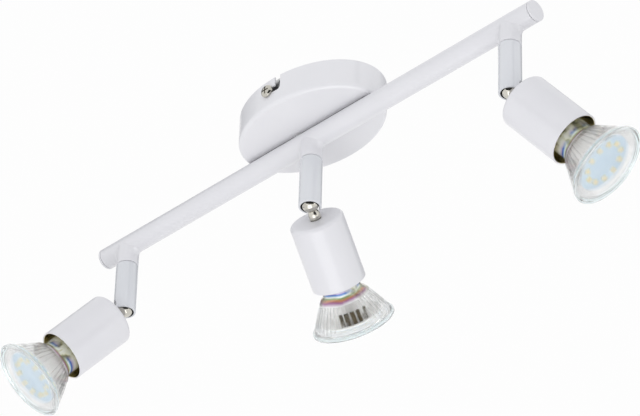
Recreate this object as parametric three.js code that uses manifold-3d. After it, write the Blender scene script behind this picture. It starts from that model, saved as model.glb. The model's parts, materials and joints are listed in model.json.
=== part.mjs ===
// Ceiling spotlight bar with three swivelling GU10 heads.
// Millimetres, +Z up. The origin is on the ceiling plane, at the middle of the canopy,
// and +X runs along the bar. Every size below can be changed on its own.

import * as THREE from 'three';
import { mergeVertices } from 'three/addons/utils/BufferGeometryUtils.js';
import Module from 'manifold-3d';

const wasm = await Module();
wasm.setup();

// ---- Clearances ----
const seatGap = 0.3;          // between pieces that bear on each other
const threadGap = 0.25;       // radial, around a screw, stud or pin
const runningGap = 0.4;       // between a turning piece and its seat

// ---- Canopy and its fixing ----
const canopyHalfLength = 51;
const canopyHalfWidth = 33.5;
const canopyDepth = 20;
const canopyWall = 1;
const canopyEdgeRadius = 2.5;
const slotWidth = 4.2;
const slotEntryX = 3.8;       // where the vertical leg of each side slot opens at the rim
const screwX = -3.7;          // where a side screw sits once the canopy has slid home
const screwDrop = 8.3;        // side screw axis, below the ceiling
const sideScrewRadius = 1.9;
const sideScrewHeadRadius = 4;
const sideScrewHeadHeight = 2.4;
const sideScrewReach = 6;
const driveSlotWidth = 1;
const driveSlotDepth = 1.2;
const bracketWidth = 20;
const bracketThickness = 1.5;
const bracketEarDrop = 13;
const bracketClearance = 0.6;
const ceilingSlotWidth = 5;
const ceilingSlotLength = 14;
const ceilingSlotY = 17;
const earthScrewY = 6;
const earthScrewRadius = 1.8;
const earthScrewHeadRadius = 3.5;
const earthScrewHeadHeight = 2.4;

// ---- Terminal block ----
const blockX = 24;
const blockLength = 28;
const blockDepth = 16;
const blockHeight = 11.5;
const blockWays = 3;
const blockPitch = 9;
const portRadius = 1.6;
const portHeight = 5.5;
const screwWellRadius = 1.7;
const screwWellInset = 4;

// ---- Bar ----
const barOverhang = 20;       // from an outer spot to the end of the bar
const barRadius = 6.5;
const barWall = 1;
const barGap = 0.3;           // between the top of the bar and the canopy face
const capThickness = 1.5;
const capSpigot = 8;

// ---- Threaded nipple between bar and canopy ----
const nippleX = -9;
const nippleRadius = 4;
const nippleBore = 2.7;
const nippleFlangeRadius = 4.7;
const nippleFlangeHeight = 1.4;
const nippleWasherRadius = 7;
const nippleWasherHeight = 1;
const nippleNutFlats = 13;
const nippleNutHeight = 3.5;
const nippleTail = 1;

// ---- Arms ----
const spotSpacing = 156;
const armRadius = 6.75;
const armWall = 1;
const armTopWall = 1.6;
const collarDrop = 14.8;      // from the bar axis to the underside of a collar
const collarSaddleGap = 0.1;
const pivotDrop = 46;         // from the bar axis to the tilt pivot
const armTail = 2.5;          // tube below the pivot
const studRadius = 3;
const studBore = 2;
const studFlangeRadius = 4.2;
const studFlangeHeight = 1.4;
const swivelNutRadius = 4.75;
const swivelNutFlat = 4;
const swivelNutHeight = 3;
const studTail = 0.5;

// ---- Tilt joint ----
const ballRadius = 5.3;
const stemRadius = 3.5;
const stemSlotGap = 0.4;
const lipInset = 0.65;        // how far the mouth of an arm closes in under the ball
const shoulderInset = 0.8;    // how far the bore closes in above the ball
const shoulderHeight = 2.2;
const ballBore = 1.5;
const ballSlotHalfWidth = 1.4;
const leadRadius = 0.9;
const leadEndGap = 1.2;

// ---- Lamp shells, measured along each head from its pivot ----
const shellStart = 10;
const shellRadius = 16.25;
const shellWall = 1;
const shellBackWall = 1.2;
const shellEdgeRadius = 2.5;
const shellLength = 41.8;
const threadRadius = 3;
const threadLength = 6;

// ---- Lampholder ----
const bridgeRadius = 10;
const bridgeThickness = 2.6;
const bridgeLegHeight = 3.1;
const bridgeLegThickness = 1.6;
const bridgeLegWidth = 10;
const holderRadius = 13;
const holderHeight = 13.9;
const holderFaceWall = 2.6;
const pocketDepth = 8.5;

// ---- GU10 lamp ----
const pinPitch = 10;
const pinShankRadius = 1.5;
const pinHeadRadius = 2.4;
const pinHeadHeight = 3.4;
const pinTravelGap = 0.5;
const twistAngle = 22;        // degrees between the locked and the entry position
const baseWidth = 23;
const baseThickness = 15;
const baseHeight = 13;
const driverRadius = 9;
const neckRadius = 11.5;
const neckLength = 12.5;
const bowlRise = 1.2;         // from the end of the neck to the start of the curved bowl
const glassWall = 1.4;
const lampRadius = 25;
const lampLength = 47.2;      // from the face of the lampholder to the front of the lamp
const rimHeight = 1.4;
const rimWidth = 2.4;         // from the edge of the lamp to the opening for the front glass
const rimBevel = 0.8;
const frontRecess = 0.6;      // from the front of the rim back to the front glass
const frontGlassThickness = 1.5;
const boardRadius = 17.5;
const boardThickness = 1.2;
const boardSetback = 5.1;     // from the front of the lamp to the back of the LED board
const chipCount = 11;
const chipSize = 2.8;
const chipHeight = 0.8;
const chipRingRadius = 12.25;

// ---- Where the three heads point: azimuth about Z and tilt from straight down ----
const spots = [
  { name: 'left', x: -spotSpacing, azimuth: 231, tilt: 43.4 },
  { name: 'middle', x: 0, azimuth: 111.4, tilt: 59.4 },
  { name: 'right', x: spotSpacing, azimuth: 35.6, tilt: 42.7 },
];

// ---- Facets ----
const fine = 48;
const wide = 28;
const round = 20;
const small = 12;
const tiny = 8;

// ---- Heights that follow from the sizes ----
const barZ = -(canopyDepth + barGap + barRadius);
const canopyFloorZ = -(canopyDepth - canopyWall);
const pivotZ = barZ - pivotDrop;
const armTop = pivotDrop - collarDrop - runningGap;      // above the pivot
const boreRadius = studRadius + threadGap;
const slotRadius = slotWidth / 2;
const bridgeStart = shellStart + shellBackWall + seatGap;
const holderStart = bridgeStart + bridgeThickness + bridgeLegHeight;
const holderFace = holderStart + holderHeight;
const baseStart = holderFace + seatGap;
const lampFront = baseStart + lampLength;
const rimStart = lampFront - rimHeight;
const rad = THREE.MathUtils.degToRad;

// ---- Materials ----
function finish(color, roughness, metalness) {
  return new THREE.MeshStandardMaterial({ color, roughness, metalness });
}

const whitePaint = finish(0xe9eaec, 0.35, 0);
const zincSteel = finish(0xb9bcc0, 0.4, 0.9);
const chromePlate = finish(0xd6d4cc, 0.12, 1);
const brass = finish(0xc7a557, 0.3, 1);
const whiteNylon = finish(0xeceae2, 0.55, 0);
const ceramic = finish(0xe7e1d2, 0.5, 0);
const silicone = finish(0xd9d8d3, 0.6, 0);
const clearGlass = finish(0xdfeaec, 0.05, 0);
const boardWhite = finish(0xe4eef2, 0.5, 0);
const steel = finish(0xa9abad, 0.35, 0.9);

// ---- Solids ----
// Merges shared corners and turns the faces outwards.
function closed(geometry) {
  const solid = geometry.clone();
  solid.deleteAttribute('normal');
  solid.deleteAttribute('uv');
  const merged = mergeVertices(solid, 1e-5);
  const index = Array.from(merged.index.array);
  const point = merged.attributes.position;
  const a = new THREE.Vector3();
  const b = new THREE.Vector3();
  const c = new THREE.Vector3();
  const kept = [];
  let volume = 0;
  for (let i = 0; i < index.length; i += 3) {
    const [p, q, r] = index.slice(i, i + 3);
    if (p === q || q === r || r === p) continue;
    a.fromBufferAttribute(point, p);
    b.fromBufferAttribute(point, q);
    c.fromBufferAttribute(point, r);
    volume += a.dot(b.cross(c));
    kept.push(p, q, r);
  }
  if (volume < 0) {
    for (let i = 0; i < kept.length; i += 3) {
      [kept[i], kept[i + 1]] = [kept[i + 1], kept[i]];
    }
  }
  merged.setIndex(kept);
  return merged;
}

function toManifold(geometry) {
  const solid = closed(geometry);
  return new wasm.Manifold(new wasm.Mesh({
    numProp: 3,
    vertProperties: new Float32Array(solid.attributes.position.array),
    triVerts: new Uint32Array(solid.index.array),
  }));
}

function fromManifold(solid) {
  const mesh = solid.getMesh();
  const geometry = new THREE.BufferGeometry();
  geometry.setAttribute('position', new THREE.BufferAttribute(new Float32Array(mesh.vertProperties), 3));
  geometry.setIndex(Array.from(mesh.triVerts));
  geometry.computeVertexNormals();
  return geometry;
}

function cut(base, ...tools) {
  let solid = toManifold(base);
  for (const tool of tools) {
    solid = solid.subtract(toManifold(tool));
  }
  return fromManifold(solid);
}

function join(...pieces) {
  let solid = toManifold(pieces[0]);
  for (const piece of pieces.slice(1)) {
    solid = solid.add(toManifold(piece));
  }
  return fromManifold(solid);
}

function common(first, second) {
  return fromManifold(toManifold(first).intersect(toManifold(second)));
}

// A solid of revolution about Z from an outline of [radius, z] corners.
function turned(outline, segments = round) {
  const points = outline.map(([r, z]) => new THREE.Vector2(r, z));
  const onAxis = points[0].x === 0 && points[points.length - 1].x === 0;
  if (!onAxis) points.push(points[0].clone());
  return new THREE.LatheGeometry(points, segments).rotateX(Math.PI / 2);
}

function rod(radius, z0, z1, segments = round) {
  return turned([[0, z0], [radius, z0], [radius, z1], [0, z1]], segments);
}

function ring(outer, inner, z0, z1, segments = round) {
  return turned([[inner, z0], [outer, z0], [outer, z1], [inner, z1]], segments);
}

function box(x0, x1, y0, y1, z0, z1) {
  return new THREE.BoxGeometry(x1 - x0, y1 - y0, z1 - z0)
    .translate((x0 + x1) / 2, (y0 + y1) / 2, (z0 + z1) / 2);
}

function hexNut(flats, bore, z0, z1) {
  const body = rod(flats / Math.sqrt(3), z0, z1, 6);
  return cut(body, rod(bore, z0 - 1, z1 + 1, small));
}

// Corners of a quarter circle in an outline, from one angle to another, in degrees.
function fillet(centreR, centreZ, radius, from, to, steps = 4) {
  const corners = [];
  for (let i = 0; i <= steps; i++) {
    const angle = rad(from + (to - from) * i / steps);
    corners.push([centreR + radius * Math.cos(angle), centreZ + radius * Math.sin(angle)]);
  }
  return corners;
}

// A round-ended slot through a wall that faces Y, drawn in X and Z.
function slotCutter(x0, z0, x1, z1, radius, y0, y1) {
  const angle = Math.atan2(z1 - z0, x1 - x0);
  const shape = new THREE.Shape();
  shape.absarc(x1, z1, radius, angle - Math.PI / 2, angle + Math.PI / 2, false);
  shape.absarc(x0, z0, radius, angle + Math.PI / 2, angle + 1.5 * Math.PI, false);
  return new THREE.ExtrudeGeometry(shape, { depth: y1 - y0, bevelEnabled: false, curveSegments: 4 })
    .rotateX(Math.PI / 2)
    .translate(0, y1, 0);
}

const fixture = new THREE.Group();

function add(parent, name, geometry, material) {
  const mesh = new THREE.Mesh(closed(geometry), material);
  mesh.name = name;
  parent.add(mesh);
}

// ---- Canopy: a deep-drawn oval cup with an L-shaped slot in each long side ----
function ovalBlock(halfLength, halfWidth, bottom, edgeRadius) {
  const shape = new THREE.Shape();
  shape.absellipse(0, 0, halfLength - edgeRadius, halfWidth - edgeRadius, 0, 2 * Math.PI, false, 0);
  return new THREE.ExtrudeGeometry(shape, {
    depth: canopyDepth,
    curveSegments: fine / 2,
    bevelThickness: edgeRadius,
    bevelSize: edgeRadius,
    bevelSegments: 3,
  }).translate(0, 0, bottom + edgeRadius);
}

function sideSlots(side) {
  const near = side * (canopyHalfWidth - 6);
  const far = side * (canopyHalfWidth + 3);
  const y0 = Math.min(near, far);
  const y1 = Math.max(near, far);
  return [
    slotCutter(slotEntryX, slotRadius, slotEntryX, -screwDrop, slotRadius, y0, y1),
    slotCutter(screwX, -screwDrop, slotEntryX, -screwDrop, slotRadius, y0, y1),
  ];
}

function canopy() {
  const innerEdge = canopyEdgeRadius - canopyWall;
  const outside = ovalBlock(canopyHalfLength, canopyHalfWidth, -canopyDepth, canopyEdgeRadius);
  const inside = ovalBlock(
    canopyHalfLength - canopyWall, canopyHalfWidth - canopyWall, canopyFloorZ, innerEdge,
  );
  const reach = 2 * canopyHalfLength;
  const aboveCeiling = box(-reach, reach, -reach, reach, 0, reach);
  const nippleHole = rod(nippleRadius + threadGap, -canopyDepth - 1, canopyFloorZ + 1, small)
    .translate(nippleX, 0, 0);
  return cut(outside, inside, aboveCeiling, nippleHole, ...sideSlots(1), ...sideSlots(-1));
}

// ---- Mounting bracket: a strap across the canopy with an ear at each end ----
function ovalAt(x, inset) {
  return (canopyHalfWidth - inset) * Math.sqrt(1 - (x / (canopyHalfLength - inset)) ** 2);
}

const wallAtScrew = ovalAt(screwX, 0);
const earOuter = ovalAt(Math.abs(screwX) + bracketWidth / 2, canopyWall + bracketClearance);

function mountingBracket() {
  const x0 = screwX - bracketWidth / 2;
  const x1 = screwX + bracketWidth / 2;
  const earInset = bracketWidth / 5;
  const strap = box(x0, x1, -earOuter, earOuter, -bracketThickness, 0);
  const ears = [1, -1].map((side) => {
    const y = side * (earOuter - bracketThickness / 2);
    return box(
      x0 + earInset, x1 - earInset,
      y - bracketThickness / 2, y + bracketThickness / 2,
      -bracketEarDrop, 0,
    );
  });
  const blank = join(strap, ...ears);
  const screwHole = rod(sideScrewRadius + threadGap, -earOuter - 1, earOuter + 1, small)
    .rotateX(Math.PI / 2)
    .translate(screwX, 0, -screwDrop);
  const halfRun = (ceilingSlotLength - ceilingSlotWidth) / 2;
  const ceilingSlots = [1, -1].map((side) => slotCutter(
    side * ceilingSlotY - halfRun, 0, side * ceilingSlotY + halfRun, 0,
    ceilingSlotWidth / 2, -bracketThickness - 1, bracketThickness + 1,
  ).rotateX(Math.PI / 2).rotateZ(Math.PI / 2).translate(screwX, 0, 0));
  const earthHole = rod(earthScrewRadius + threadGap, -bracketThickness - 1, 1, small)
    .translate(screwX, -earthScrewY, 0);
  return cut(blank, screwHole, ...ceilingSlots, earthHole);
}

// A pan-head screw along Z, head up, with its underside at z = 0.
function panScrew(shankRadius, reach, headRadius, headHeight) {
  const head = turned([
    [0, -reach], [shankRadius, -reach], [shankRadius, 0], [headRadius, 0],
    [headRadius, headHeight * 0.45], [headRadius * 0.8, headHeight * 0.85], [headRadius * 0.45, headHeight],
    [0, headHeight],
  ], small);
  const length = headRadius * 0.62;
  const half = driveSlotWidth / 2;
  const floor = headHeight - driveSlotDepth;
  return cut(
    head,
    box(-length, length, -half, half, floor, headHeight + 1),
    box(-half, half, -length, length, floor, headHeight + 1),
  );
}

function sideScrew(side) {
  return panScrew(sideScrewRadius, sideScrewReach, sideScrewHeadRadius, sideScrewHeadHeight)
    .translate(0, 0, wallAtScrew + seatGap)
    .rotateX(-side * Math.PI / 2)
    .translate(screwX, 0, -screwDrop);
}

function earthScrew() {
  return panScrew(earthScrewRadius, bracketThickness, earthScrewHeadRadius, earthScrewHeadHeight)
    .rotateX(Math.PI)
    .translate(screwX, -earthScrewY, -bracketThickness - seatGap);
}

// ---- Terminal block on the canopy floor ----
const blockBase = canopyFloorZ + seatGap;
const blockTop = blockBase + blockHeight;
const portZ = blockBase + portHeight;
const wayY = (way) => (way - (blockWays - 1) / 2) * blockPitch;
const wellXs = [-1, 1].map((side) => blockX + side * (blockDepth / 2 - screwWellInset));

function terminalBlock() {
  const body = box(
    blockX - blockDepth / 2, blockX + blockDepth / 2, -blockLength / 2, blockLength / 2, blockBase, blockTop,
  );
  const holes = [];
  for (let way = 0; way < blockWays; way++) {
    holes.push(rod(portRadius, -blockDepth, blockDepth, small)
      .rotateY(Math.PI / 2)
      .translate(blockX, wayY(way), portZ));
    for (const x of wellXs) {
      holes.push(rod(screwWellRadius, portZ, blockTop + 1, tiny).translate(x, wayY(way), 0));
    }
  }
  return cut(body, ...holes);
}

// ---- Bar with its end caps, collars and threaded parts ----
const barHalfLength = spotSpacing + barOverhang;
const tubeHalfLength = barHalfLength - capThickness - seatGap;

function barTube() {
  const inner = barRadius - barWall;
  const tube = ring(barRadius, inner, -tubeHalfLength, tubeHalfLength).rotateY(Math.PI / 2);
  const armHoles = spots.map((spot) => rod(boreRadius, -barRadius - 1, 0, small).translate(spot.x, 0, 0));
  const nippleHole = rod(nippleRadius + threadGap, 0, barRadius + 1, small).translate(nippleX, 0, 0);
  return cut(tube, ...armHoles, nippleHole).translate(0, 0, barZ);
}

function endCap(side) {
  const spigotRadius = barRadius - barWall - seatGap;
  const bevel = capThickness * 0.3;
  const outline = [
    [0, 0], [spigotRadius, 0], [spigotRadius, capSpigot + seatGap], [barRadius, capSpigot + seatGap],
    [barRadius, capSpigot + capThickness - bevel + seatGap],
    [barRadius - bevel, capSpigot + capThickness + seatGap],
    [0, capSpigot + capThickness + seatGap],
  ];
  return turned(outline)
    .translate(0, 0, tubeHalfLength - capSpigot)
    .rotateY(side * Math.PI / 2)
    .translate(0, 0, barZ);
}

function armCollar() {
  const saddle = rod(barRadius + collarSaddleGap, -2 * armRadius, 2 * armRadius).rotateY(Math.PI / 2);
  const blank = ring(armRadius, boreRadius, -collarDrop, 0);
  return cut(blank, saddle).translate(0, 0, barZ);
}

// Lowest height at which a flange of this radius clears the curved floor of the bar.
function flangeSeat(flangeRadius) {
  const inner = barRadius - barWall;
  return Math.sqrt(inner ** 2 - flangeRadius ** 2) - threadGap;
}

const nutTop = -(collarDrop + runningGap + armTopWall + seatGap);
const studEnd = nutTop - swivelNutHeight - studTail;

function swivelStud() {
  const seat = -flangeSeat(studFlangeRadius);
  return turned([
    [studBore, studEnd], [studRadius, studEnd], [studRadius, seat], [studFlangeRadius, seat],
    [studFlangeRadius, seat + studFlangeHeight], [studBore, seat + studFlangeHeight],
  ], 2 * tiny).translate(0, 0, barZ);
}

function swivelNut() {
  const blank = ring(swivelNutRadius, boreRadius, nutTop - swivelNutHeight, nutTop, 2 * tiny);
  const reach = 2 * swivelNutRadius;
  return cut(
    blank,
    box(swivelNutFlat, reach, -reach, reach, nutTop - reach, nutTop + 1),
    box(-reach, -swivelNutFlat, -reach, reach, nutTop - reach, nutTop + 1),
  ).translate(0, 0, barZ);
}

const nippleWasherBase = canopyFloorZ + seatGap;
const nippleNutBase = nippleWasherBase + nippleWasherHeight + seatGap;
const nippleTop = nippleNutBase + nippleNutHeight + nippleTail;

function canopyNipple() {
  const seat = barZ + flangeSeat(nippleFlangeRadius);
  return turned([
    [nippleBore, seat - nippleFlangeHeight], [nippleFlangeRadius, seat - nippleFlangeHeight],
    [nippleFlangeRadius, seat], [nippleRadius, seat], [nippleRadius, nippleTop], [nippleBore, nippleTop],
  ], 2 * tiny).translate(nippleX, 0, 0);
}

function nippleWasher() {
  const top = nippleWasherBase + nippleWasherHeight;
  return ring(nippleWasherRadius, nippleRadius + threadGap, nippleWasherBase, top, 2 * tiny)
    .translate(nippleX, 0, 0);
}

function nippleNut() {
  return hexNut(nippleNutFlats, nippleRadius + threadGap, nippleNutBase, nippleNutBase + nippleNutHeight)
    .translate(nippleX, 0, 0);
}

// ---- Supply leads: terminal block, nipple, bar, then down the middle of each arm ----
// One stretch of a lead: straight between two points, curved through more.
function stretch(points, steps) {
  const corners = points.map((point) => new THREE.Vector3(...point));
  const curved = corners.length > 2;
  if (!curved) {
    const overlap = corners[1].clone().sub(corners[0]).setLength(0.2);
    corners[0].sub(overlap);
    corners[1].add(overlap);
  }
  const path = curved ? new THREE.CatmullRomCurve3(corners) : new THREE.LineCurve3(...corners);
  const section = new THREE.Shape().absarc(0, 0, leadRadius, 0, 2 * Math.PI, false);
  return new THREE.ExtrudeGeometry(section, {
    steps: curved ? steps : 1,
    curveSegments: 4,
    bevelEnabled: false,
    extrudePath: path,
  });
}

const portMouthX = blockX - blockDepth / 2;
const nippleMouth = barZ + flangeSeat(nippleFlangeRadius) - nippleFlangeHeight;
const leadEndZ = pivotZ + leadEndGap;
const runZ = nippleMouth - leadRadius - seatGap;

// The three leads share the bore of the nipple: one towards the terminal block, two behind it.
const leadCircle = leadRadius + 0.35;
const nearLead = [leadCircle, 0];
const leftLead = [-leadCircle / 2, leadCircle * Math.sqrt(0.75)];
const rightLead = [leftLead[0], -leftLead[1]];

// Down the middle of an arm, from a run along the bar that ends at entry.
function leadIntoArm(spotX, entry) {
  const bend = [
    entry,
    [spotX + (entry[0] - spotX) * 0.14, 0, barZ - 1.2],
    [spotX, 0, barZ - 5],
    [spotX, 0, barZ - 9],
  ];
  return [stretch(bend, 6), stretch([bend[3], [spotX, 0, leadEndZ]])];
}

// From a way of the terminal block, over the nut and down through the nipple.
function leadFromBlock(way, [dx, dy]) {
  const y = wayY(way);
  const x = nippleX + dx;
  const loop = [
    [portMouthX + 2, y, portZ],
    [portMouthX - 3, y * 0.97, portZ + 0.8],
    [(x + portMouthX) / 2 + 2, (y * 2 + dy) / 3, nippleTop + 5],
    [x + 1.6, dy + (y - dy) * 0.12, nippleTop + 4],
    [x, dy, nippleTop + 0.5],
    [x, dy, nippleTop - 2],
  ];
  return [stretch(loop, 12), stretch([loop[5], [x, dy, nippleMouth + 1.5]])];
}

function leadLeft() {
  const [dx, dy] = leftLead;
  const x = nippleX + dx;
  const turn = [
    [x, dy, nippleMouth + 1.5], [x - 0.3, dy, runZ + 1.1], [x - 2.4, dy / 2, runZ], [x - 6, 0, runZ],
  ];
  const entry = [-spotSpacing + 5, 0, runZ];
  return join(
    ...leadFromBlock(2, leftLead), stretch(turn, 6), stretch([turn[3], entry]),
    ...leadIntoArm(-spotSpacing, entry),
  );
}

function leadMiddle() {
  const x = nippleX + nearLead[0];
  const turn = [[x, 0, nippleMouth + 1.5], [x + 0.3, 0, runZ + 1.1], [x + 2, 0, runZ], [x / 2, 0, runZ]];
  return join(...leadFromBlock(1, nearLead), stretch(turn, 6), ...leadIntoArm(0, turn[3]));
}

function leadRight() {
  const [dx, dy] = rightLead;
  const x = nippleX + dx;
  const side = -(studBore + leadRadius + seatGap);
  const turn = [
    [x, dy, nippleMouth + 1.5], [x + 0.1, dy - 0.2, runZ + 1.1], [x + 1.4, side * 0.8, runZ],
    [x + 5, side, runZ], [x + 8, side, runZ],
  ];
  const entry = [spotSpacing - 5, 0, runZ];
  const passed = [spotSpacing / 2, side, runZ];
  return join(
    ...leadFromBlock(0, rightLead), stretch(turn, 9), stretch([turn[4], passed]), stretch([passed, entry]),
    ...leadIntoArm(spotSpacing, entry),
  );
}

// ---- Arm: a tube with a closed top and a slot up one side for the stem ----
const slotHalfWidth = stemRadius + stemSlotGap;
const slotTopCentre = stemSlotGap + 0.6;

// Height at which a ring of this radius lies one seat gap off the ball.
function ballSeat(radius) {
  return Math.sqrt((ballRadius + seatGap) ** 2 - radius ** 2);
}

function armTube() {
  const inner = armRadius - armWall;
  const bevel = armWall * 0.4;
  const shoulderRadius = inner - shoulderInset;
  const shoulder = ballSeat(shoulderRadius);
  const tube = turned([
    [inner - lipInset, -armTail], [armRadius - bevel, -armTail], [armRadius, -armTail + bevel],
    [armRadius, armTop], [boreRadius, armTop],
    [boreRadius, armTop - armTopWall], [inner, armTop - armTopWall],
    [inner, shoulder + shoulderHeight], [shoulderRadius, shoulder + shoulderHeight - shoulderInset],
    [shoulderRadius, shoulder], [inner, shoulder - shoulderInset], [inner, -armTail + lipInset],
  ]);
  const stemSlot = slotCutter(
    0, -armTail - slotHalfWidth - 1, 0, slotTopCentre, slotHalfWidth, 0, armRadius + 1,
  ).rotateZ(-Math.PI / 2);
  return cut(tube, stemSlot);
}

// ---- Knuckle: chrome ball, stem and threaded tail, drilled for the lead ----
function knuckle() {
  const stemEnd = shellStart - seatGap;
  const throatRadius = stemRadius * 0.8;
  const throatEnd = ballRadius + 0.6;
  const flareEnd = throatEnd + 1;
  const stemMeet = rad(90) - Math.asin(throatRadius / ballRadius);
  const ball = [];
  const rings = 7;
  for (let i = 0; i <= rings; i++) {
    const angle = -Math.PI / 2 + (stemMeet + Math.PI / 2) * i / rings;
    ball.push([ballRadius * Math.cos(angle), ballRadius * Math.sin(angle)]);
  }
  ball[0] = [0, -ballRadius];
  const blank = turned([
    ...ball,
    [throatRadius, throatEnd], [stemRadius, flareEnd], [stemRadius, stemEnd],
    [threadRadius, stemEnd], [threadRadius, shellStart + threadLength], [0, shellStart + threadLength],
  ], fine / 2);
  const bore = rod(ballBore, 0, shellStart + threadLength + 1, small);
  const sweep = new THREE.Shape();
  sweep.moveTo(0, 0);
  sweep.absarc(0, 0, ballRadius + 2, rad(270), rad(360), false);
  sweep.lineTo(0, 0);
  const leadSlot = new THREE.ExtrudeGeometry(sweep, {
    depth: 2 * ballSlotHalfWidth, bevelEnabled: false, curveSegments: 4,
  }).translate(0, 0, -ballSlotHalfWidth).rotateX(Math.PI / 2);
  const far = ballRadius + 2;
  const sides = [-ballSlotHalfWidth, ballSlotHalfWidth];
  const rays = [[0, -far], [far, 0]].map(([x, z]) => slotCutter(0, 0, x, z, ballSlotHalfWidth, ...sides));
  return cut(blank, bore, leadSlot, ...rays);
}

// ---- Lamp shell: a spun cup with a rounded closed end ----
function shell() {
  const end = shellStart + shellLength;
  const inner = shellRadius - shellWall;
  const floor = shellStart + shellBackWall;
  const innerEdge = shellEdgeRadius - shellWall;
  const hole = threadRadius + threadGap;
  return turned([
    [hole, shellStart],
    ...fillet(shellRadius - shellEdgeRadius, shellStart + shellEdgeRadius, shellEdgeRadius, -90, 0, 3),
    [shellRadius, end], [inner, end],
    ...fillet(inner - innerEdge, floor + innerEdge, innerEdge, 0, -90, 2),
    [hole, floor],
  ], wide);
}

// ---- Lampholder: a threaded steel bridge, and a ceramic body with two keyhole pockets ----
function holderBridge() {
  const plateTop = bridgeStart + bridgeThickness;
  const legTop = holderStart - seatGap;
  const plate = ring(bridgeRadius, threadRadius + threadGap, bridgeStart, plateTop);
  const half = bridgeLegWidth / 2;
  const legs = [1, -1].map((side) => {
    const outer = side * Math.sqrt(bridgeRadius ** 2 - half ** 2);
    const inner = outer - side * bridgeLegThickness;
    return box(-half, half, Math.min(inner, outer), Math.max(inner, outer), plateTop - 0.5, legTop);
  });
  return join(plate, ...legs);
}

const pinRing = pinPitch / 2;
const pocketHalfWidth = pinHeadRadius + pinTravelGap;
const pocketFloor = holderFace - pocketDepth;

// An arc-shaped block around the lamp axis, as wide as twice halfWidth, from z0 to z1.
function arcBlock(halfWidth, from, to, z0, z1) {
  const shape = new THREE.Shape();
  const end = (angle) => [pinRing * Math.cos(rad(angle)), pinRing * Math.sin(rad(angle))];
  shape.absarc(0, 0, pinRing + halfWidth, rad(from), rad(to), false);
  shape.absarc(...end(to), halfWidth, rad(to), rad(to + 180), false);
  shape.absarc(0, 0, pinRing - halfWidth, rad(to), rad(from), true);
  shape.absarc(...end(from), halfWidth, rad(from + 180), rad(from + 360), false);
  return new THREE.ExtrudeGeometry(shape, { depth: z1 - z0, bevelEnabled: false, curveSegments: 3 })
    .translate(0, 0, z0);
}

function holderBody() {
  const chamfer = 1.2;
  const body = turned([
    [0, holderStart], [holderRadius, holderStart], [holderRadius, holderFace - chamfer],
    [holderRadius - chamfer, holderFace], [0, holderFace],
  ]);
  const cutters = [rod(leadRadius + 0.7, holderStart - 1, holderStart + 3, tiny)];
  const faceBack = holderFace - holderFaceWall;
  for (const locked of [0, 180]) {
    const entry = locked - twistAngle;
    cutters.push(arcBlock(pocketHalfWidth, entry, locked, pocketFloor, faceBack));
    cutters.push(arcBlock(pinShankRadius + pinTravelGap, entry, locked, pocketFloor, holderFace + 1));
    cutters.push(rod(pocketHalfWidth, pocketFloor, holderFace + 1, small)
      .translate(pinRing, 0, 0)
      .rotateZ(rad(entry)));
  }
  return cut(body, ...cutters);
}

function holderLead() {
  return rod(leadRadius, leadEndGap, holderStart + 2.5, tiny);
}

// ---- GU10 reflector lamp ----
function lampPin(side) {
  const headEnd = holderFace - holderFaceWall - seatGap;
  const headStart = headEnd - pinHeadHeight;
  const bevel = 0.6;
  const shankEnd = baseStart - 0.1;
  return turned([
    [0, headStart], [pinHeadRadius - bevel, headStart], [pinHeadRadius, headStart + bevel],
    [pinHeadRadius, headEnd], [pinShankRadius, headEnd], [pinShankRadius, shankEnd], [0, shankEnd],
  ], tiny).translate(side * pinRing, 0, 0);
}

const neckStart = baseStart + baseHeight + seatGap;
const boardStart = lampFront - boardSetback;
const baseTop = boardStart - seatGap;

function lampBase() {
  const footEnd = baseStart + baseHeight;
  const foot = common(
    rod(baseWidth / 2, baseStart, footEnd),
    box(-baseWidth, baseWidth, -baseThickness / 2, baseThickness / 2, baseStart - 1, footEnd + 1),
  );
  return join(foot, rod(driverRadius, footEnd - 1, baseTop, 2 * tiny));
}

// Reflector cup: neck, curved bowl and rim. The bowl radius follows a smooth power curve.
const bowlStart = neckStart + neckLength;
const bowlEndRadius = lampRadius - rimBevel;
const bowlShoulder = neckRadius + 1.6;
const bowlExponent = 0.84;
const bowlRings = 4;

function bowlOutline(inset) {
  const corners = [];
  for (let i = 0; i <= bowlRings; i++) {
    const t = i / bowlRings;
    const r = bowlShoulder + (bowlEndRadius - bowlShoulder) * t ** bowlExponent;
    corners.push([r - inset, bowlStart + bowlRise + (rimStart - bowlStart - bowlRise) * t]);
  }
  return corners;
}

const frontSeat = lampFront - frontGlassThickness - frontRecess;
const rimInner = lampRadius - rimWidth;

function lampReflector() {
  const inside = bowlOutline(glassWall).reverse();
  inside[0] = [rimInner - rimBevel, frontSeat - seatGap];
  return turned([
    [neckRadius - glassWall, neckStart], [neckRadius, neckStart], [neckRadius, bowlStart],
    ...bowlOutline(0),
    [lampRadius, rimStart + 0.2], [lampRadius, lampFront - rimBevel * 0.75],
    [lampRadius - rimBevel, lampFront], [rimInner, lampFront], [rimInner, frontSeat - seatGap],
    ...inside,
    [neckRadius - glassWall, bowlStart],
  ]);
}

function frontGlass() {
  return rod(rimInner - seatGap, frontSeat, frontSeat + frontGlassThickness);
}

function ledBoard() {
  const half = chipSize / 2;
  const top = boardStart + boardThickness;
  const chips = [];
  for (let i = 0; i < chipCount; i++) {
    chips.push(box(chipRingRadius - half, chipRingRadius + half, -half, half, top - 0.3, top + chipHeight)
      .rotateZ(2 * Math.PI * i / chipCount));
  }
  return join(rod(boardRadius, boardStart, top), ...chips);
}

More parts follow.
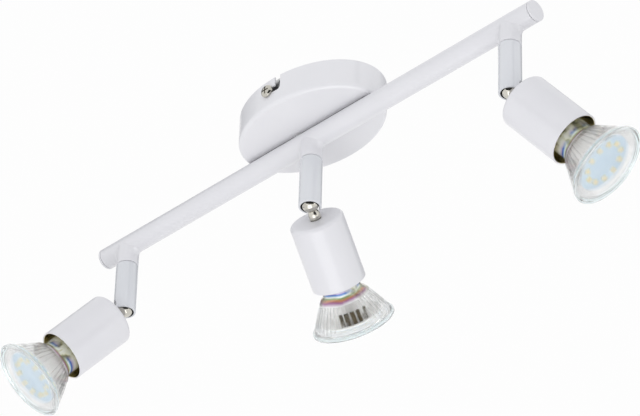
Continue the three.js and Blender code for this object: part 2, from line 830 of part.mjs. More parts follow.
// ---- Assembly ----
add(fixture, 'canopy', canopy(), whitePaint);
add(fixture, 'mounting_bracket', mountingBracket(), zincSteel);
add(fixture, 'side_screw_front', sideScrew(-1), chromePlate);
add(fixture, 'side_screw_back', sideScrew(1), chromePlate);
add(fixture, 'earth_screw', earthScrew(), brass);
add(fixture, 'terminal_block', terminalBlock(), whiteNylon);
add(fixture, 'canopy_nipple', canopyNipple(), zincSteel);
add(fixture, 'nipple_washer', nippleWasher(), zincSteel);
add(fixture, 'nipple_nut', nippleNut(), brass);
add(fixture, 'bar_tube', barTube(), whitePaint);
add(fixture, 'bar_end_cap_left', endCap(-1), whitePaint);
add(fixture, 'bar_end_cap_right', endCap(1), whitePaint);
add(fixture, 'supply_lead_left', leadLeft(), silicone);
add(fixture, 'supply_lead_middle', leadMiddle(), silicone);
add(fixture, 'supply_lead_right', leadRight(), silicone);

for (const spot of spots) {
  const station = new THREE.Group();
  station.position.x = spot.x;
  fixture.add(station);
  add(station, `arm_collar_${spot.name}`, armCollar(), whitePaint);
  add(station, `swivel_stud_${spot.name}`, swivelStud(), zincSteel);
  add(station, `swivel_nut_${spot.name}`, swivelNut(), brass);

  const arm = new THREE.Group();
  arm.position.z = pivotZ;
  arm.rotation.z = rad(spot.azimuth);
  station.add(arm);
  add(arm, `arm_tube_${spot.name}`, armTube(), whitePaint);

  const tilted = new THREE.Group();
  tilted.rotation.y = -rad(spot.tilt);
  arm.add(tilted);
  const head = new THREE.Group();
  head.rotation.x = Math.PI;
  tilted.add(head);
  add(head, `knuckle_${spot.name}`, knuckle(), chromePlate);
  add(head, `shell_${spot.name}`, shell(), whitePaint);
  add(head, `holder_bridge_${spot.name}`, holderBridge(), zincSteel);
  add(head, `holder_body_${spot.name}`, holderBody(), ceramic);
  add(head, `holder_lead_${spot.name}`, holderLead(), silicone);
  add(head, `lamp_pin_a_${spot.name}`, lampPin(1), steel);
  add(head, `lamp_pin_b_${spot.name}`, lampPin(-1), steel);
  add(head, `lamp_base_${spot.name}`, lampBase(), whiteNylon);
  add(head, `lamp_reflector_${spot.name}`, lampReflector(), clearGlass);
  add(head, `led_board_${spot.name}`, ledBoard(), boardWhite);
  add(head, `lamp_front_glass_${spot.name}`, frontGlass(), clearGlass);
}

export default fixture;
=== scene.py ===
"""Ceiling spotlight bar: detailed surfaces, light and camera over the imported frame."""
import json
import math
import bmesh
import bpy
from mathutils import Matrix, Vector


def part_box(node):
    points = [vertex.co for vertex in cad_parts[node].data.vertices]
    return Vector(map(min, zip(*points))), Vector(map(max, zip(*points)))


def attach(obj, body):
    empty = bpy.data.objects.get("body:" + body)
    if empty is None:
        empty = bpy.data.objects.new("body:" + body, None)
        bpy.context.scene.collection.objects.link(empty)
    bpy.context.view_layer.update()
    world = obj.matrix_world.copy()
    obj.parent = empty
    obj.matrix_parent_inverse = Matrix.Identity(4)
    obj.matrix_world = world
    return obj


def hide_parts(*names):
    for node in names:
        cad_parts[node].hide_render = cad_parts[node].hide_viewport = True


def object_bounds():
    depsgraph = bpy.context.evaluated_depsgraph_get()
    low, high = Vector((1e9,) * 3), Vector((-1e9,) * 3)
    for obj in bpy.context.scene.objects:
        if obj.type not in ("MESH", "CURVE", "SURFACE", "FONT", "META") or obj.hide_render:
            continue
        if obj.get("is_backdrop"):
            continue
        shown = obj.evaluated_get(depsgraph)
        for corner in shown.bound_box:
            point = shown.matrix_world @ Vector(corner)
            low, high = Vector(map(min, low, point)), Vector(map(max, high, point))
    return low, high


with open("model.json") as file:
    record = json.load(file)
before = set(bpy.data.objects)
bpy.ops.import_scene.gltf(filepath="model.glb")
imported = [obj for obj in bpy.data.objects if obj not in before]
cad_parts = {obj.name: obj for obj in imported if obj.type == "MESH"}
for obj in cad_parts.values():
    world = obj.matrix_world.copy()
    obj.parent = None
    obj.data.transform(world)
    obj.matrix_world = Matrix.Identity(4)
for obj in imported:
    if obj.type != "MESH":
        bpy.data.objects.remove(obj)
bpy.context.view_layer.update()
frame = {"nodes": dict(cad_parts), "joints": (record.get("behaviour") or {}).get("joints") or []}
nodes = frame["nodes"]
joints = {j["name"]: j for j in frame["joints"]}
scene = bpy.context.scene
MM = 0.001
TINY = 1e-6
SIDES = ("left", "middle", "right")

# ---------------------------------------------------------------- nodes


def material(name):
    """A new material, its node tree and its shader."""
    mat = bpy.data.materials.new(name)
    mat.use_nodes = True
    tree = mat.node_tree
    return mat, tree, tree.nodes["Principled BSDF"]


def feed(tree, node, inputs):
    """Links each input of a node to a socket, or sets it to a value."""
    for key, value in inputs.items():
        if isinstance(value, bpy.types.NodeSocket):
            tree.links.new(value, node.inputs[key])
        else:
            node.inputs[key].default_value = value


def add_node(tree, kind, inputs):
    """A new node with its inputs fed."""
    made = tree.nodes.new(f"ShaderNode{kind}")
    feed(tree, made, inputs)
    return made


def coordinates(tree):
    return add_node(tree, "TexCoord", {}).outputs["Object"]


def own_axes(tree, scale=(1, 1, 1)):
    """A piece's own axes in metres: Z runs along a head from its tilt pivot."""
    held = add_node(tree, "Attribute", {})
    held.attribute_name = "own"
    return add_node(tree, "Mapping", {"Vector": held.outputs["Vector"], "Scale": scale}).outputs["Vector"]


def noise(tree, vector, scale, detail=3.0):
    """A soft random pattern of 0 to 1."""
    return add_node(tree, "TexNoise", {"Vector": vector, "Scale": scale, "Detail": detail}).outputs["Fac"]


def ramp(tree, factor, stops):
    """The colour at a factor, from (place, colour) stops."""
    made = add_node(tree, "ValToRGB", {"Fac": factor})
    ends = made.color_ramp.elements
    while len(ends) < len(stops):
        ends.new(0.5)
    for end, (place, colour) in zip(ends, stops):
        end.position = place
        end.color = (*colour, 1)
    return made.outputs["Color"]


def span(tree, factor, low, high):
    """A factor of 0 to 1, carried to low to high."""
    return add_node(tree, "MapRange", {"Value": factor, "To Min": low, "To Max": high}).outputs["Result"]


def fade(tree, value, start, end):
    """0 where the value is at start, 1 where it is at end."""
    return add_node(tree, "MapRange", {"Value": value, "From Min": start, "From Max": end}).outputs["Result"]


def maths(tree, operation, first, second=0.0):
    """The result of one operation on sockets or values."""
    made = add_node(tree, "Math", {0: first, 1: second})
    made.operation = operation
    return made.outputs["Value"]


def mix_colours(tree, factor, first, second):
    """The first colour at a factor of 0, the second at 1."""
    made = tree.nodes.new("ShaderNodeMix")
    made.data_type = "RGBA"
    feed(tree, made, {"Factor": factor, "A": first, "B": second})
    return made.outputs["Result"]


def bump(tree, bsdf, height, strength, distance):
    """Fine relief under the shader's gloss."""
    made = add_node(tree, "Bump", {"Height": height, "Strength": strength, "Distance": distance})
    feed(tree, bsdf, {"Normal": made.outputs["Normal"]})


def shade(tree, vector, bsdf, low, high, scale):
    """Base colour that drifts between two close tones."""
    feed(tree, bsdf, {"Base Color": ramp(tree, noise(tree, vector, scale), [(0.3, low), (0.7, high)])})


# ---------------------------------------------------------------- materials


def powder_coat(name, low, high, rough=(0.26, 0.36), coat=0.35):
    """White powder coat: slight tone drift, fine orange peel, a clear gloss on top."""
    mat, tree, bsdf = material(name)
    vector = coordinates(tree)
    shade(tree, vector, bsdf, low, high, 26)
    feed(tree, bsdf, {"Roughness": span(tree, noise(tree, vector, 180), *rough), "Coat Weight": coat,
                      "Coat Roughness": 0.08})
    bump(tree, bsdf, noise(tree, vector, 900, 2.0), 0.12, 0.08 * MM)
    return mat


def metal(name, low, high, rough, scale, strength):
    """Bare or plated metal with a fine grain."""
    mat, tree, bsdf = material(name)
    vector = coordinates(tree)
    shade(tree, vector, bsdf, low, high, scale * 0.3)
    feed(tree, bsdf, {"Metallic": 1, "Roughness": span(tree, noise(tree, vector, scale), *rough)})
    bump(tree, bsdf, noise(tree, vector, scale * 2), strength, 0.04 * MM)
    return mat


def solid(name, low, high, rough, scale, strength):
    """Ceramic, plastic, lacquer or cloth."""
    mat, tree, bsdf = material(name)
    vector = coordinates(tree)
    shade(tree, vector, bsdf, low, high, scale)
    feed(tree, bsdf, {"Roughness": span(tree, noise(tree, vector, scale * 2), *rough)})
    bump(tree, bsdf, noise(tree, vector, scale * 5), strength, 0.06 * MM)
    return mat


def glass(name, tint, rough, alpha):
    """Pressed glass. The lower alpha is, the paler and clearer it looks."""
    mat, tree, bsdf = material(name)
    vector = coordinates(tree)
    shade(tree, vector, bsdf, tint, tuple(min(1, c * 1.03) for c in tint), 60)
    feed(tree, bsdf, {"Roughness": span(tree, noise(tree, vector, 240), rough * 0.6, rough * 1.4),
                      "Transmission Weight": 1, "IOR": 1.45, "Alpha": alpha})
    bump(tree, bsdf, noise(tree, vector, 420, 2.0), 0.1, 0.08 * MM)
    return mat


def dichroic_and_painted_sheen(name, start, end):
    """Coating of the glass neck: khaki and silver, and the film's colours in streaks towards the bowl. Its
    silver, its streaks of colour and its brightness in the shell's shade are painted reflection and sheen on
    the coating's own khaki.
    """
    bands = [(0.0, (0.74, 0.7, 0.45)), (0.26, (0.88, 0.85, 0.62)), (0.44, (0.93, 0.92, 0.86)),
             (0.54, (0.6, 0.55, 0.75)), (0.6, (0.05, 0.12, 0.55)), (0.65, (0.2, 0.42, 0.72)),
             (0.7, (0.9, 0.92, 0.9)), (0.76, (0.3, 0.48, 0.22)), (0.83, (0.75, 0.34, 0.18)),
             (0.9, (0.42, 0.16, 0.36)), (1.0, (0.95, 0.95, 0.95))]
    patches = [(0.38, (0.66, 0.66, 0.44)), (0.41, (0.88, 0.9, 0.84)), (0.5, (0.8, 0.81, 0.66)),
               (0.53, (0.5, 0.5, 0.3)), (0.57, (0.14, 0.14, 0.09)), (0.64, (0.3, 0.3, 0.19))]
    streaks = [(0.36, (0, 0, 0)), (0.5, (1, 1, 1))]
    mat, tree, bsdf = material(name)
    vector = own_axes(tree)
    height = add_node(tree, "SeparateXYZ", {"Vector": vector}).outputs["Z"]
    drift = span(tree, noise(tree, vector, 55, 2.0), -2.4 * MM, 2.4 * MM)
    along = fade(tree, maths(tree, "ADD", height, drift), start * MM, end * MM)
    where = ramp(tree, noise(tree, own_axes(tree, (1, 1, 0.4)), 65), streaks)
    plain = ramp(tree, noise(tree, vector, 90), patches)
    # The base colour holds painted reflection and sheen as well as the coating's khaki.
    feed(tree, bsdf, {"Base Color": mix_colours(tree, where, plain, ramp(tree, along, bands)),
                      "Metallic": 0.1, "Roughness": 0.25, "Coat Weight": 1, "Coat Roughness": 0.03})
    bump(tree, bsdf, noise(tree, vector, 300), 0.1, 0.1 * MM)
    return mat


def painted_gap_shade(name, base):
    """Canopy paint with painted shade: a dark strip painted on the face in the narrow wedge over the bar,
    left off at the nipple.
    """
    shade_edge, shade_full = 3.0, 2.7
    face_edge, face_full = -19.6, -19.9
    nipple_x, nipple_edge, nipple_clear = -9, 1.5, 3.5
    mat = base.copy()
    mat.name = name
    tree = mat.node_tree
    bsdf = tree.nodes["Principled BSDF"]
    tone = bsdf.inputs["Base Color"].links[0].from_socket
    split = add_node(tree, "SeparateXYZ", {"Vector": coordinates(tree)})
    near = fade(tree, maths(tree, "ABSOLUTE", split.outputs["Y"]), shade_edge * MM, shade_full * MM)
    face = fade(tree, split.outputs["Z"], face_edge * MM, face_full * MM)
    aside = maths(tree, "ABSOLUTE", maths(tree, "ADD", split.outputs["X"], -nipple_x * MM))
    beside = fade(tree, aside, nipple_edge * MM, nipple_clear * MM)
    painted_shade_amount = maths(tree, "MULTIPLY", maths(tree, "MULTIPLY", near, face), beside)
    # The dark colour mixed in here is painted shade for the wedge over the bar.
    feed(tree, bsdf, {"Base Color": mix_colours(tree, painted_shade_amount, tone, (0.12, 0.12, 0.13, 1))})
    return mat


paint = powder_coat("white_powder_coat", (0.765, 0.76, 0.788), (0.785, 0.78, 0.803))
# A lighter copy of the white powder coat: painted light that evens out the shade on the canopy's face under
# the bar.
canopy_paint_painted_light = powder_coat("canopy_powder_coat_painted_light", (0.805, 0.80, 0.825), (0.825, 0.82, 0.84))
canopy_gap_painted_shade = painted_gap_shade("canopy_paint_painted_light", canopy_paint_painted_light)
arm_paint = powder_coat("arm_gloss_paint", (0.70, 0.715, 0.745), (0.735, 0.745, 0.775), (0.16, 0.22), 0.6)
# Near-black paint inside the canopy and up each arm's bore: painted shade for those recesses.
shade_painted_inside = solid("inside_painted_shade", (0.05, 0.05, 0.053), (0.09, 0.09, 0.095), (0.4, 0.6), 160, 0.15)
chrome = metal("polished_chrome", (0.5, 0.48, 0.43), (0.68, 0.66, 0.6), (0.05, 0.1), 220, 0.03)
zinc = metal("zinc_plate", (0.55, 0.56, 0.57), (0.68, 0.68, 0.68), (0.28, 0.45), 260, 0.25)
brass = metal("turned_brass", (0.62, 0.47, 0.2), (0.75, 0.6, 0.3), (0.2, 0.34), 300, 0.15)
bare_steel = metal("bare_spun_steel", (0.72, 0.66, 0.4), (0.86, 0.8, 0.56), (0.16, 0.28), 340, 0.1)
pin_steel = metal("nickel_pins", (0.7, 0.7, 0.69), (0.8, 0.8, 0.79), (0.15, 0.25), 320, 0.08)
ceramic = solid("steatite_ceramic", (0.74, 0.71, 0.64), (0.8, 0.77, 0.71), (0.45, 0.6), 160, 0.3)
nylon = solid("white_nylon", (0.86, 0.86, 0.84), (0.9, 0.9, 0.88), (0.35, 0.5), 120, 0.12)
silicone = solid("silicone_sleeve", (0.66, 0.65, 0.63), (0.72, 0.71, 0.69), (0.4, 0.55), 200, 0.15)
clear = glass("clear_pressed_glass", (0.97, 0.985, 0.985), 0.015, 0.52)
rim_glass = glass("rim_glass", (0.77, 0.84, 0.85), 0.015, 0.94)
front = glass("front_disc_glass", (0.95, 0.975, 0.98), 0.02, 0.4)
board_mask = solid("board_solder_mask", (0.56, 0.72, 0.86), (0.64, 0.78, 0.9), (0.3, 0.4), 180, 0.1)
board_back = solid("board_back", (0.9, 0.9, 0.88), (0.95, 0.95, 0.93), (0.35, 0.6), 160, 0.2)
choke = solid("choke_lacquer", (0.008, 0.007, 0.004), (0.1, 0.07, 0.025), (0.3, 0.5), 150, 0.3)
phosphor = solid("phosphor_gel", (0.9, 0.66, 0.2), (0.95, 0.74, 0.3), (0.3, 0.42), 260, 0.2)
chip_case = solid("chip_case", (0.9, 0.8, 0.42), (0.94, 0.85, 0.52), (0.4, 0.5), 260, 0.1)
black_cloth = solid("black_cloth", (0.02, 0.02, 0.02), (0.035, 0.035, 0.035), (0.8, 0.9), 4, 0.1)
grey_cloth = solid("grey_cloth", (0.32, 0.33, 0.34), (0.38, 0.39, 0.4), (0.8, 0.9), 4, 0.1)

# ---------------------------------------------------------------- placing


def turn(axis, degrees):
    return Matrix.Rotation(math.radians(degrees), 4, axis)


def shift(x=0.0, y=0.0, z=0.0):
    return Matrix.Translation(Vector((x, y, z)) * MM)


def basis(origin, x, y, z):
    """The matrix with three axes and an origin."""
    made = Matrix((x, y, z)).transposed().to_4x4()
    made.translation = origin
    return made


def linked(name, data):
    """A new object in the scene."""
    made = bpy.data.objects.new(name, data)
    scene.collection.objects.link(made)
    return made


def finish_mesh(name, mesh, matrix, materials, body, replaced, angle=32):
    """Shades, places and registers a piece. Its own axes stay behind in the attribute "own"."""
    for i, mat in enumerate(materials):
        if i < len(mesh.materials):
            mesh.materials[i] = mat
        else:
            mesh.materials.append(mat)
    for face in mesh.polygons:
        face.use_smooth = True
    mesh.set_sharp_from_angle(angle=math.radians(angle))
    own = mesh.attributes.new("own", "FLOAT_VECTOR", "POINT")
    for i, v in enumerate(mesh.vertices):
        own.data[i].vector = v.co
    mesh.transform(matrix)
    piece = linked(name, mesh)
    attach(piece, body)
    if replaced:
        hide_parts(*replaced)
    return piece


# ---------------------------------------------------------------- outlines, in mm


def arc(centre_r, centre_z, radius, start, end, steps):
    """Points of an arc between two angles in degrees."""
    angles = [math.radians(start + (end - start) * k / steps) for k in range(steps + 1)]
    return [(centre_r + radius * math.cos(a), centre_z + radius * math.sin(a)) for a in angles]


def polar(radius, degrees):
    """The point at a radius and an angle."""
    return radius * math.cos(math.radians(degrees)), radius * math.sin(math.radians(degrees))


def rounded(corners, radius=0.3, steps=3):
    """An outline with every corner eased by an arc. A corner may carry its own radius as a third value."""
    nearly_straight, most_of_side = math.radians(165), 0.48
    out = []
    for i, corner in enumerate(corners):
        here = Vector(corner[:2])
        inward = Vector(corners[i - 1][:2]) - here
        outward = Vector(corners[(i + 1) % len(corners)][:2]) - here
        want = corner[2] if len(corner) > 2 else radius
        on_axis = corner[0] <= TINY
        if on_axis or want <= 0 or min(inward.length, outward.length) < TINY:
            out.append(tuple(here))
            continue
        bend = inward.angle(outward)
        if bend > nearly_straight:
            out.append(tuple(here))
            continue
        reach = min(want / math.tan(bend / 2), inward.length * most_of_side, outward.length * most_of_side)
        start, end = here + inward.normalized() * reach, here + outward.normalized() * reach
        for k in range(steps + 1):
            t = k / steps
            out.append(tuple((1 - t) ** 2 * start + 2 * t * (1 - t) * here + t * t * end))
    return out


def slot_outline(x0, z0, x1, z1, radius, steps=12):
    """Outline of a slot with round ends about two points."""
    lean = math.atan2(z1 - z0, x1 - x0)
    points = []
    for x, z, start in ((x1, z1, lean - math.pi / 2), (x0, z0, lean + math.pi / 2)):
        for k in range(steps + 1):
            t = start + math.pi * k / steps
            points.append((x + radius * math.cos(t), z + radius * math.sin(t)))
    return points


# ---------------------------------------------------------------- meshes


def distinct(items):
    out = []
    for item in items:
        if item not in out:
            out.append(item)
    return out


def to_mesh(made, name):
    """A mesh from a bmesh, which is given up."""
    mesh = bpy.data.meshes.new(name)
    made.to_mesh(mesh)
    made.free()
    return mesh


def lathe(outline, segments, slots=None, flute=None):
    """A body of revolution about Z from (radius, z) points in mm. Closed unless both ends lie on the axis.

    slots gives the material slot between two points, and flute what a radius gains at an angle."""
    closed = not (outline[0][0] < TINY and outline[-1][0] < TINY)
    verts, rings = [], []
    for r, z in outline:
        if r < TINY:
            rings.append([len(verts)] * segments)
            verts.append((0, 0, z * MM))
            continue
        rings.append(list(range(len(verts), len(verts) + segments)))
        for k in range(segments):
            angle = 2 * math.pi * k / segments
            rr = r + (flute(angle, r, z) if flute else 0)
            verts.append((rr * math.cos(angle) * MM, rr * math.sin(angle) * MM, z * MM))
    faces, marks = [], []
    for i in range(len(rings) if closed else len(rings) - 1):
        after = (i + 1) % len(rings)
        low, high = rings[i], rings[after]
        mark = slots(outline[i], outline[after]) if slots else 0
        for k in range(segments):
            n = (k + 1) % segments
            corners = distinct((low[k], low[n], high[n], high[k]))
            if len(corners) > 2:
                faces.append(corners)
                marks.append(mark)
    mesh = bpy.data.meshes.new("turned")
    mesh.from_pydata(verts, [], faces)
    for face, mark in zip(mesh.polygons, marks):
        face.material_index = mark
    made = bmesh.new()
    made.from_mesh(mesh)
    bmesh.ops.recalc_face_normals(made, faces=made.faces)
    made.to_mesh(mesh)
    made.free()
    return mesh


def block(x0, x1, y0, y1, z0, z1, bevel=0.3):
    """A box in mm with eased edges."""
    made = bmesh.new()
    bmesh.ops.create_cube(made, size=1)
    size = Vector((x1 - x0, y1 - y0, z1 - z0)) * MM
    centre = Vector((x0 + x1, y0 + y1, z0 + z1)) * MM / 2
    for v in made.verts:
        v.co = Vector((v.co.x * size.x, v.co.y * size.y, v.co.z * size.z)) + centre
    if bevel:
        bmesh.ops.bevel(made, geom=made.edges[:], offset=bevel * MM, segments=2, profile=0.5, affect="EDGES")
    return to_mesh(made, "block")


def prism(points, z0, z1):
    """A flat outline of (x, y) in mm, carried from z0 to z1."""
    made = bmesh.new()
    low = [made.verts.new((x * MM, y * MM, z0 * MM)) for x, y in points]
    high = [made.verts.new((x * MM, y * MM, z1 * MM)) for x, y in points]
    made.faces.new(list(reversed(low)))
    made.faces.new(high)
    for i in range(len(points)):
        n = (i + 1) % len(points)
        made.faces.new((low[i], low[n], high[n], high[i]))
    bmesh.ops.recalc_face_normals(made, faces=made.faces)
    return to_mesh(made, "prism")


def moved(mesh, matrix):
    mesh.transform(matrix)
    return mesh


def marked(mesh, index):
    """A mesh whose faces all take one material slot."""
    for face in mesh.polygons:
        face.material_index = index
    return mesh


def merged(*meshes):
    """One mesh from several, keeping each face's material index."""
    made = bmesh.new()
    for mesh in meshes:
        made.from_mesh(mesh)
    return to_mesh(made, "merged")


def carved(mesh, *tools):
    """A mesh with each tool cut away."""
    while len(mesh.materials) < 2:
        mesh.materials.append(None)
    base = linked("carving", mesh)
    cutters = [linked("cutter", tool) for tool in tools]
    for cutter in cutters:
        cut = base.modifiers.new("cut", "BOOLEAN")
        cut.operation = "DIFFERENCE"
        cut.solver = "EXACT"
        cut.object = cutter
    depsgraph = bpy.context.evaluated_depsgraph_get()
    out = bpy.data.meshes.new_from_object(base.evaluated_get(depsgraph))
    for made in (base, *cutters):
        bpy.data.objects.remove(made)
    return out


def wall_slot(points, y0, y1):
    """A cutter through a wall that faces Y, its outline given in (x, z)."""
    return moved(prism(points, -y1, -y0), turn("X", 90))


# ---------------------------------------------------------------- canopy
low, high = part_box("canopy")
HALF_X, HALF_Y, DEPTH = high.x / MM, high.y / MM, -low.z / MM
WALL, EDGE, LIP = 1.0, 2.5, 0.35
low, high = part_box("side_screw_front")
SCREW_X, SCREW_Z = (low.x + high.x) / 2 / MM, (low.z + high.z) / 2 / MM
SLOT_X, SLOT_HALF = SCREW_X + 7.5, 2.1


def oval_ring(inset, z, count=220):
    """Points of the oval whose wall lies inset mm inside the outer wall."""
    a, b = HALF_X - EDGE, HALF_Y - EDGE
    ring = []
    for k in range(count):
        angle = 2 * math.pi * k / count
        c, s = math.cos(angle), math.sin(angle)
        normal = Vector((b * c, a * s)).normalized() * (EDGE - inset)
        ring.append(((a * c + normal.x) * MM, (b * s + normal.y) * MM, z * MM))
    return ring


def oval_floor(z, shares):
    """Rings that share out the flat of the canopy's face at one height."""
    return [[(x * share, y * share, z * MM) for x, y, _ in oval_ring(EDGE, 0)] for share in shares]


def oval_cup():
    """The canopy as rings: from the ceiling down the outside to the middle of the face, and back inside."""
    wall_steps, edge_steps = 6, 8
    quarter = [math.pi / 2 * k / edge_steps for k in range(edge_steps + 1)]
    inner_top, inner_edge = -DEPTH + WALL, EDGE - WALL
    outside = [oval_ring(WALL, -LIP), oval_ring(WALL - LIP, 0), oval_ring(LIP, 0), oval_ring(0, -LIP)]
    for k in range(1, wall_steps + 1):
        outside.append(oval_ring(0, -LIP - (DEPTH - EDGE - LIP) * k / wall_steps))
    for angle in quarter[1:]:
        outside.append(oval_ring(EDGE * (1 - math.cos(angle)), -DEPTH + EDGE * (1 - math.sin(angle))))
    outside += [*oval_floor(-DEPTH, (0.75, 0.5, 0.25)), [(0, 0, -DEPTH * MM)]]
    inside = [[(0, 0, inner_top * MM)], *oval_floor(inner_top, (0.25, 0.5, 0.75))]
    for angle in reversed(quarter):
        inside.append(oval_ring(WALL + inner_edge * (1 - math.cos(angle)),
                                inner_top + inner_edge * (1 - math.sin(angle))))
    made = bmesh.new()
    rows = [[made.verts.new(p) for p in ring] for ring in (*outside, *inside)]
    for i, here in enumerate(rows):
        after = rows[(i + 1) % len(rows)]
        count = max(len(here), len(after))
        if count == 1:
            continue
        for k in range(count):
            n = (k + 1) % count
            corners = distinct([here[k % len(here)], here[n % len(here)], after[n % len(after)],
                                after[k % len(after)]])
            made.faces.new(corners).material_index = 1 if i >= len(outside) else 0
    bmesh.ops.recalc_face_normals(made, faces=made.faces)
    return to_mesh(made, "oval")


def bayonet_slots():
    """Cutters for the L-shaped slot in each long side: down from the ceiling, then across to the screw."""
    over, under = 3, 6
    cutters = []
    for y0, y1 in ((-HALF_Y - over, -HALF_Y + under), (HALF_Y - under, HALF_Y + over)):
        cutters.append(wall_slot(slot_outline(SLOT_X, 2, SLOT_X, SCREW_Z, SLOT_HALF), y0, y1))
        cutters.append(wall_slot(slot_outline(SCREW_X, SCREW_Z, SLOT_X, SCREW_Z, SLOT_HALF), y0, y1))
    return cutters


finish_mesh("canopy_shell", carved(oval_cup(), *bayonet_slots()), Matrix.Identity(4),
            [canopy_gap_painted_shade, shade_painted_inside], "fixture", ["canopy"], 40)

# ---------------------------------------------------------------- screws


def cross_screw(shank, reach, head, height):
    """A pan head along Z with its underside at z = 0: eased dome and a cross recess."""
    dome = [(head, height * 0.5), (head * 0.82, height * 0.86), (head * 0.45, height), (0, height)]
    body = lathe(rounded([(0, -reach), (shank, -reach), (shank, 0, 0), (head, 0), *dome], 0.35), 48)
    wing, half, floor = head * 0.62, 0.42, height - 1.2
    return carved(body, block(-wing, wing, -half, half, floor, height + 1, 0),
                  block(-half, half, -wing, wing, floor, height + 1, 0))


HEAD_SEAT, EARTH_SEAT = 2.4, 1.5
for side, name in ((-1, "front"), (1, "back")):
    low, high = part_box(f"side_screw_{name}")
    outer = low.y if side < 0 else high.y
    place = shift(SCREW_X, outer / MM - side * HEAD_SEAT, SCREW_Z) @ turn("X", -side * 90)
    finish_mesh(f"side_screw_{name}_cross", cross_screw(shank=1.9, reach=6, head=3.98, height=2.38), place,
                [chrome], "fixture", [f"side_screw_{name}"])
low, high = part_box("earth_screw")
place = shift((low.x + high.x) / 2 / MM, (low.y + high.y) / 2 / MM, high.z / MM - EARTH_SEAT) @ turn("X", 180)
finish_mesh("earth_screw_cross", cross_screw(shank=1.8, reach=1.5, head=3.48, height=2.38), place,
            [brass], "fixture", ["earth_screw"])

# ---------------------------------------------------------------- bar
low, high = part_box("bar_tube")
BAR_Z, BAR_R, BAR_HALF = (low.z + high.z) / 2 / MM, (high.y - low.y) / 2 / MM, high.x / MM


def bar_mesh():
    """The bar's tube about Z, open at both ends."""
    return lathe(rounded([(BAR_R - WALL, -BAR_HALF), (BAR_R, -BAR_HALF), (BAR_R, BAR_HALF),
                          (BAR_R - WALL, BAR_HALF)], 0.25), 96)


def cap_mesh(inner, outer):
    """An end cap: a spigot inside the bar and a disc on its end."""
    spigot, disc = BAR_R - 1.3, BAR_HALF + 0.3
    return lathe(rounded([(0, inner), (spigot, inner), (spigot, disc), (BAR_R, disc), (BAR_R, outer, 0.6),
                          (0, outer)], 0.2, 4), 72)


finish_mesh("bar_tube_round", bar_mesh(), shift(0, 0, BAR_Z) @ turn("Y", 90), [paint], "fixture",
            ["bar_tube"])
for side, name in ((-1, "left"), (1, "right")):
    low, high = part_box(f"bar_end_cap_{name}")
    inner, outer = sorted((abs(low.x) / MM, abs(high.x) / MM))
    place = shift(0, 0, BAR_Z) @ turn("Y", side * 90)
    finish_mesh(f"bar_end_cap_{name}_round", cap_mesh(inner, outer), place, [paint], "fixture",
                [f"bar_end_cap_{name}"])

# ---------------------------------------------------------------- sizes of arms, heads and lamps


def head_frame(name):
    """Axes of a head at its tilt pivot: Z along the lamp, Y along the tilt axis."""
    along = Vector(joints[f"lamp_twist_{name}"]["axis"]).normalized()
    side = Vector(joints[f"tilt_{name}"]["axis"]).normalized()
    return basis(Vector(joints[f"tilt_{name}"]["pos_m"]), side.cross(along), side, along)


def extent(kind):
    """(start, end, largest radius) of a head's CAD node along its own axis, in mm."""
    into = head_frame("left").inverted()
    spots = [into @ v.co / MM for v in nodes[f"{kind}_left"].data.vertices]
    return min(p.z for p in spots), max(p.z for p in spots), max(p.xy.length for p in spots)


ARM_R, BALL_R, STEM_R = 6.75, 5.3, 3.5
STUD_BORE = 3.2
SHELL_START, SHELL_END, SHELL_R = extent("shell")
KNUCKLE_END = extent("knuckle")[1]
TAIL_BORE = 3.25
BRIDGE_START, BRIDGE_END, BRIDGE_R = extent("holder_bridge")
HOLDER_START, HOLDER_FACE, HOLDER_R = extent("holder_body")
BASE_START, BASE_TOP, BASE_R = extent("lamp_base")
NECK_START, LAMP_FRONT, RIM_R = extent("lamp_reflector")
BOARD, _, BOARD_R = extent("led_board")
GLASS_START, GLASS_END, GLASS_R = extent("lamp_front_glass")
PIN_START, PIN_END, PIN_REACH = extent("lamp_pin_a")
PIN_PITCH = 10
NECK_R = BASE_R
BOWL_START, BOWL_END = NECK_START + 12.5, LAMP_FRONT - 1.4
SHOULDER = BOWL_START + 1.2

# ---------------------------------------------------------------- arms and shells


def collar_mesh():
    """A short round collar with a soft root on the bar, its top cut to sit round the bar."""
    low, root, ease, rows = -14.8, 3.4, 0.6, 40
    waist, waist_end, waist_run = 0.3, -7, 6
    wall = [(ARM_R, low + ease + (-low - ease) * k / rows) for k in range(rows + 1)]
    foot = arc(ARM_R - ease, low + ease, ease, -90, 0, 5)
    blank = lathe([(STUD_BORE, 0), (STUD_BORE, low), (ARM_R - ease, low), *foot, *wall], 144)
    for v in blank.vertices:
        x, y, z = v.co / MM
        radius = math.hypot(x, y)
        if radius < ARM_R - 0.01:
            continue
        slim = waist * min(1.0, max(0.0, (z - waist_end) / waist_run))
        cosine, y = x / radius, y * (1 - slim / ARM_R)
        saddle = -math.sqrt(max(0.0, BAR_R ** 2 - y ** 2))
        rise = min(1.0, max(0.0, (z - saddle + root) / root))
        spread = root * (1 - math.sqrt(1 - rise ** 2)) * cosine ** 2
        v.co = Vector((x * (1 - slim / ARM_R) + math.copysign(spread, cosine), y, z)) * MM
    bar_r, reach = BAR_R + 0.02, 30
    bar = moved(lathe([(0, -reach), (bar_r, -reach), (bar_r, reach), (0, reach)], 96), turn("Y", 90))
    return carved(blank, bar)


